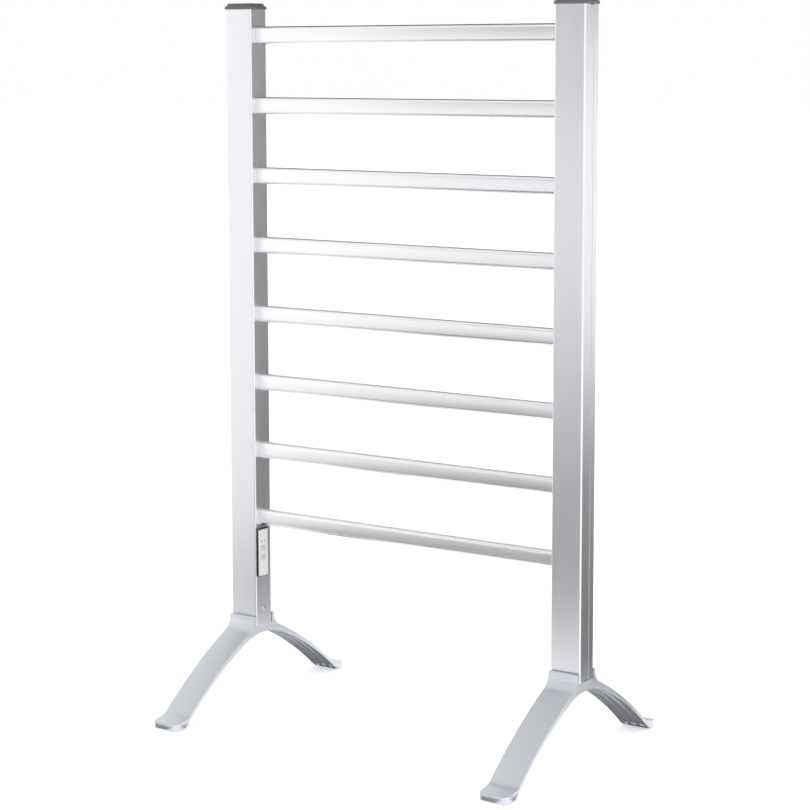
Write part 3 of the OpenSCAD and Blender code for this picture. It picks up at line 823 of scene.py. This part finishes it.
# the studio: a pale floor, an even sky, one soft lamp and grey flags for the metal to reflect; the
# dark flags lying on the floor are painted floor shade and painted shadow under the feet
studioLook = {
    "floorSize": 60,
    "floorTone": (0.84, 0.84, 0.845),
    "floorCloud": 0.995,      # the darker tone of the floor's cloud, as a share
    "floorRough": 0.9,
    "floorShine": 0.1,
    "floorGlow": 0.42,
    "cameraWhite": 1.0,       # what the camera itself sees behind the rack
    "horizon": 1.3,
    "zenith": 0.8,
    "skyRange": (0.25, 0.95),  # of the direction's height, from horizon to zenith
}
lampLook = {"place": (2.6, -0.6, 1.0), "aim": (0, 0, 0.2), "size": (1.4, 1.4), "power": 14}
flagLooks = {
    # only reflections see these: centre, size, turn in degrees, tone; the dark ones lying on the
    # floor are painted shade of the floor, seen only in reflections
    "ceilingFlag": ((-0.1, 0.3, 1.22), (1.6, 0.6), (0, 0, 0), 0.02),
    "frontFlag": ((-0.75, -2.0, 1.4), (1.2, 1.1), (90, 0, 0), 0.30),
    "frontLowFlag": ((-0.85, -2.05, 0.6), (1.2, 0.7), (90, 0, 0), 1.08),
    # painted floor shade, seen only in the metal's reflections
    "frontFloorFlag": ((-0.725, -1.70, 0.004), (0.9, 2.8), (0, 0, -30), 0.14),
    "backFlag": ((1.41, 2.0, 1.5), (1.4, 1.1), (90, 0, 0), 0.35),
    "backFloorFlag": ((0.80, 0.95, 0.004), (1.3, 1.4), (0, 0, 0), 0.10),
    "backFarFlag": ((1.26, 1.74, 0.005), (1.1, 2.2), (0, 0, -30), 0.14),
    "leftFloorFlag": ((-0.64, -0.52, 0.003), (0.5, 0.5), (0, 0, -30), 0.60),
    "innerFloorFlag": ((0.2, 0.5, 0.003), (0.5, 0.5), (0, 0, 0), 0.35),
    # painted shadow under each foot's arch and toe, which only reflections in the feet see
    "leftArchFlag": ((-0.27, 0, 0.003), (0.10, 0.34), (0, 0, 0), 0.12),
    "rightArchFlag": ((0.23, 0, 0.003), (0.10, 0.34), (0, 0, 0), 0.12),
    "leftToeFlag": ((-0.30, -0.222, 0.0015), (0.11, 0.072), (0, 0, 0), 0.12),
    "rightToeFlag": ((0.20, -0.222, 0.0015), (0.11, 0.072), (0, 0, 0), 0.12),
    "innerFlag": ((0.16, 0.6, 0.76), (0.52, 1.08), (90, 0, 0), 0.19),
}


def makeFloor(look):
    deselectAll()
    bpy.ops.mesh.primitive_plane_add(size=look["floorSize"])
    floor = bpy.context.object
    floor.name = "floor"
    finish, tree, shader = newFinish("paleFloor")
    cloud = grainNoise(tree, (2, 2, 2), plainLook["cloudDetail"])
    tone = look["floorTone"]
    darker = [v * look["floorCloud"] for v in tone]
    tree.links.new(toneMix(tree, cloud, darker, tone), shader.inputs["Base Color"])
    shader.inputs["Roughness"].default_value = look["floorRough"]
    shader.inputs["Specular IOR Level"].default_value = look["floorShine"]
    shader.inputs["Emission Color"].default_value = (1, 1, 1, 1)
    shader.inputs["Emission Strength"].default_value = look["floorGlow"]
    floor.data.materials.append(finish)


def makeWorld(look):
    world = bpy.data.worlds.new("studioAir")
    bpy.context.scene.world = world
    world.use_nodes = True
    tree = world.node_tree
    background = tree.nodes["Background"]
    place = addNode(tree, "ShaderNodeTexCoord")
    split = addNode(tree, "ShaderNodeSeparateXYZ")
    tree.links.new(place.outputs["Generated"], split.inputs["Vector"])
    room = between(tree, split.outputs["Z"], look["horizon"], look["zenith"], look["skyRange"])
    path = addNode(tree, "ShaderNodeLightPath")
    mixed = addNode(tree, "ShaderNodeMix", data_type="FLOAT")
    tree.links.new(path.outputs["Is Camera Ray"], mixed.inputs["Factor"])
    tree.links.new(room, mixed.inputs["A"])
    mixed.inputs["B"].default_value = look["cameraWhite"]
    tree.links.new(mixed.outputs["Result"], background.inputs["Strength"])
    background.inputs["Color"].default_value = (1, 1, 1, 1)


def addFlag(name, centre, size, turn, tone):
    deselectAll()
    bpy.ops.mesh.primitive_plane_add(size=1, location=centre, rotation=[radians(a) for a in turn])
    flag = bpy.context.object
    flag.name = name
    flag.scale = (size[0], size[1], 1)
    glow = bpy.data.materials.new(name)
    glow.use_nodes = True
    glow.node_tree.nodes.clear()
    lit = addNode(glow.node_tree, "ShaderNodeEmission")
    lit.inputs["Color"].default_value = (tone, tone, tone * 1.02, 1)   # a little cool
    out = addNode(glow.node_tree, "ShaderNodeOutputMaterial")
    glow.node_tree.links.new(lit.outputs["Emission"], out.inputs["Surface"])
    flag.data.materials.append(glow)
    for ray in ("camera", "diffuse", "shadow", "transmission"):
        setattr(flag, f"visible_{ray}", False)


def addLamp(name, look):
    # a soft lamp that neither the camera nor a reflection sees
    deselectAll()
    bpy.ops.object.light_add(type="AREA", location=look["place"])
    lamp = bpy.context.object
    lamp.name = name
    aimed = Vector(look["aim"]) - Vector(look["place"])
    lamp.rotation_euler = aimed.to_track_quat("-Z", "Y").to_euler()
    lamp.data.shape = "RECTANGLE"
    lamp.data.size, lamp.data.size_y = look["size"]
    lamp.data.energy = look["power"]
    lamp.visible_glossy = False
    lamp.visible_camera = False


makeFloor(studioLook)
makeWorld(studioLook)
addLamp("sideBox", lampLook)
for flagName, flagLook in flagLooks.items():
    addFlag(flagName, *flagLook)
bpy.context.scene.view_settings.view_transform = "Standard"
print("studio made")
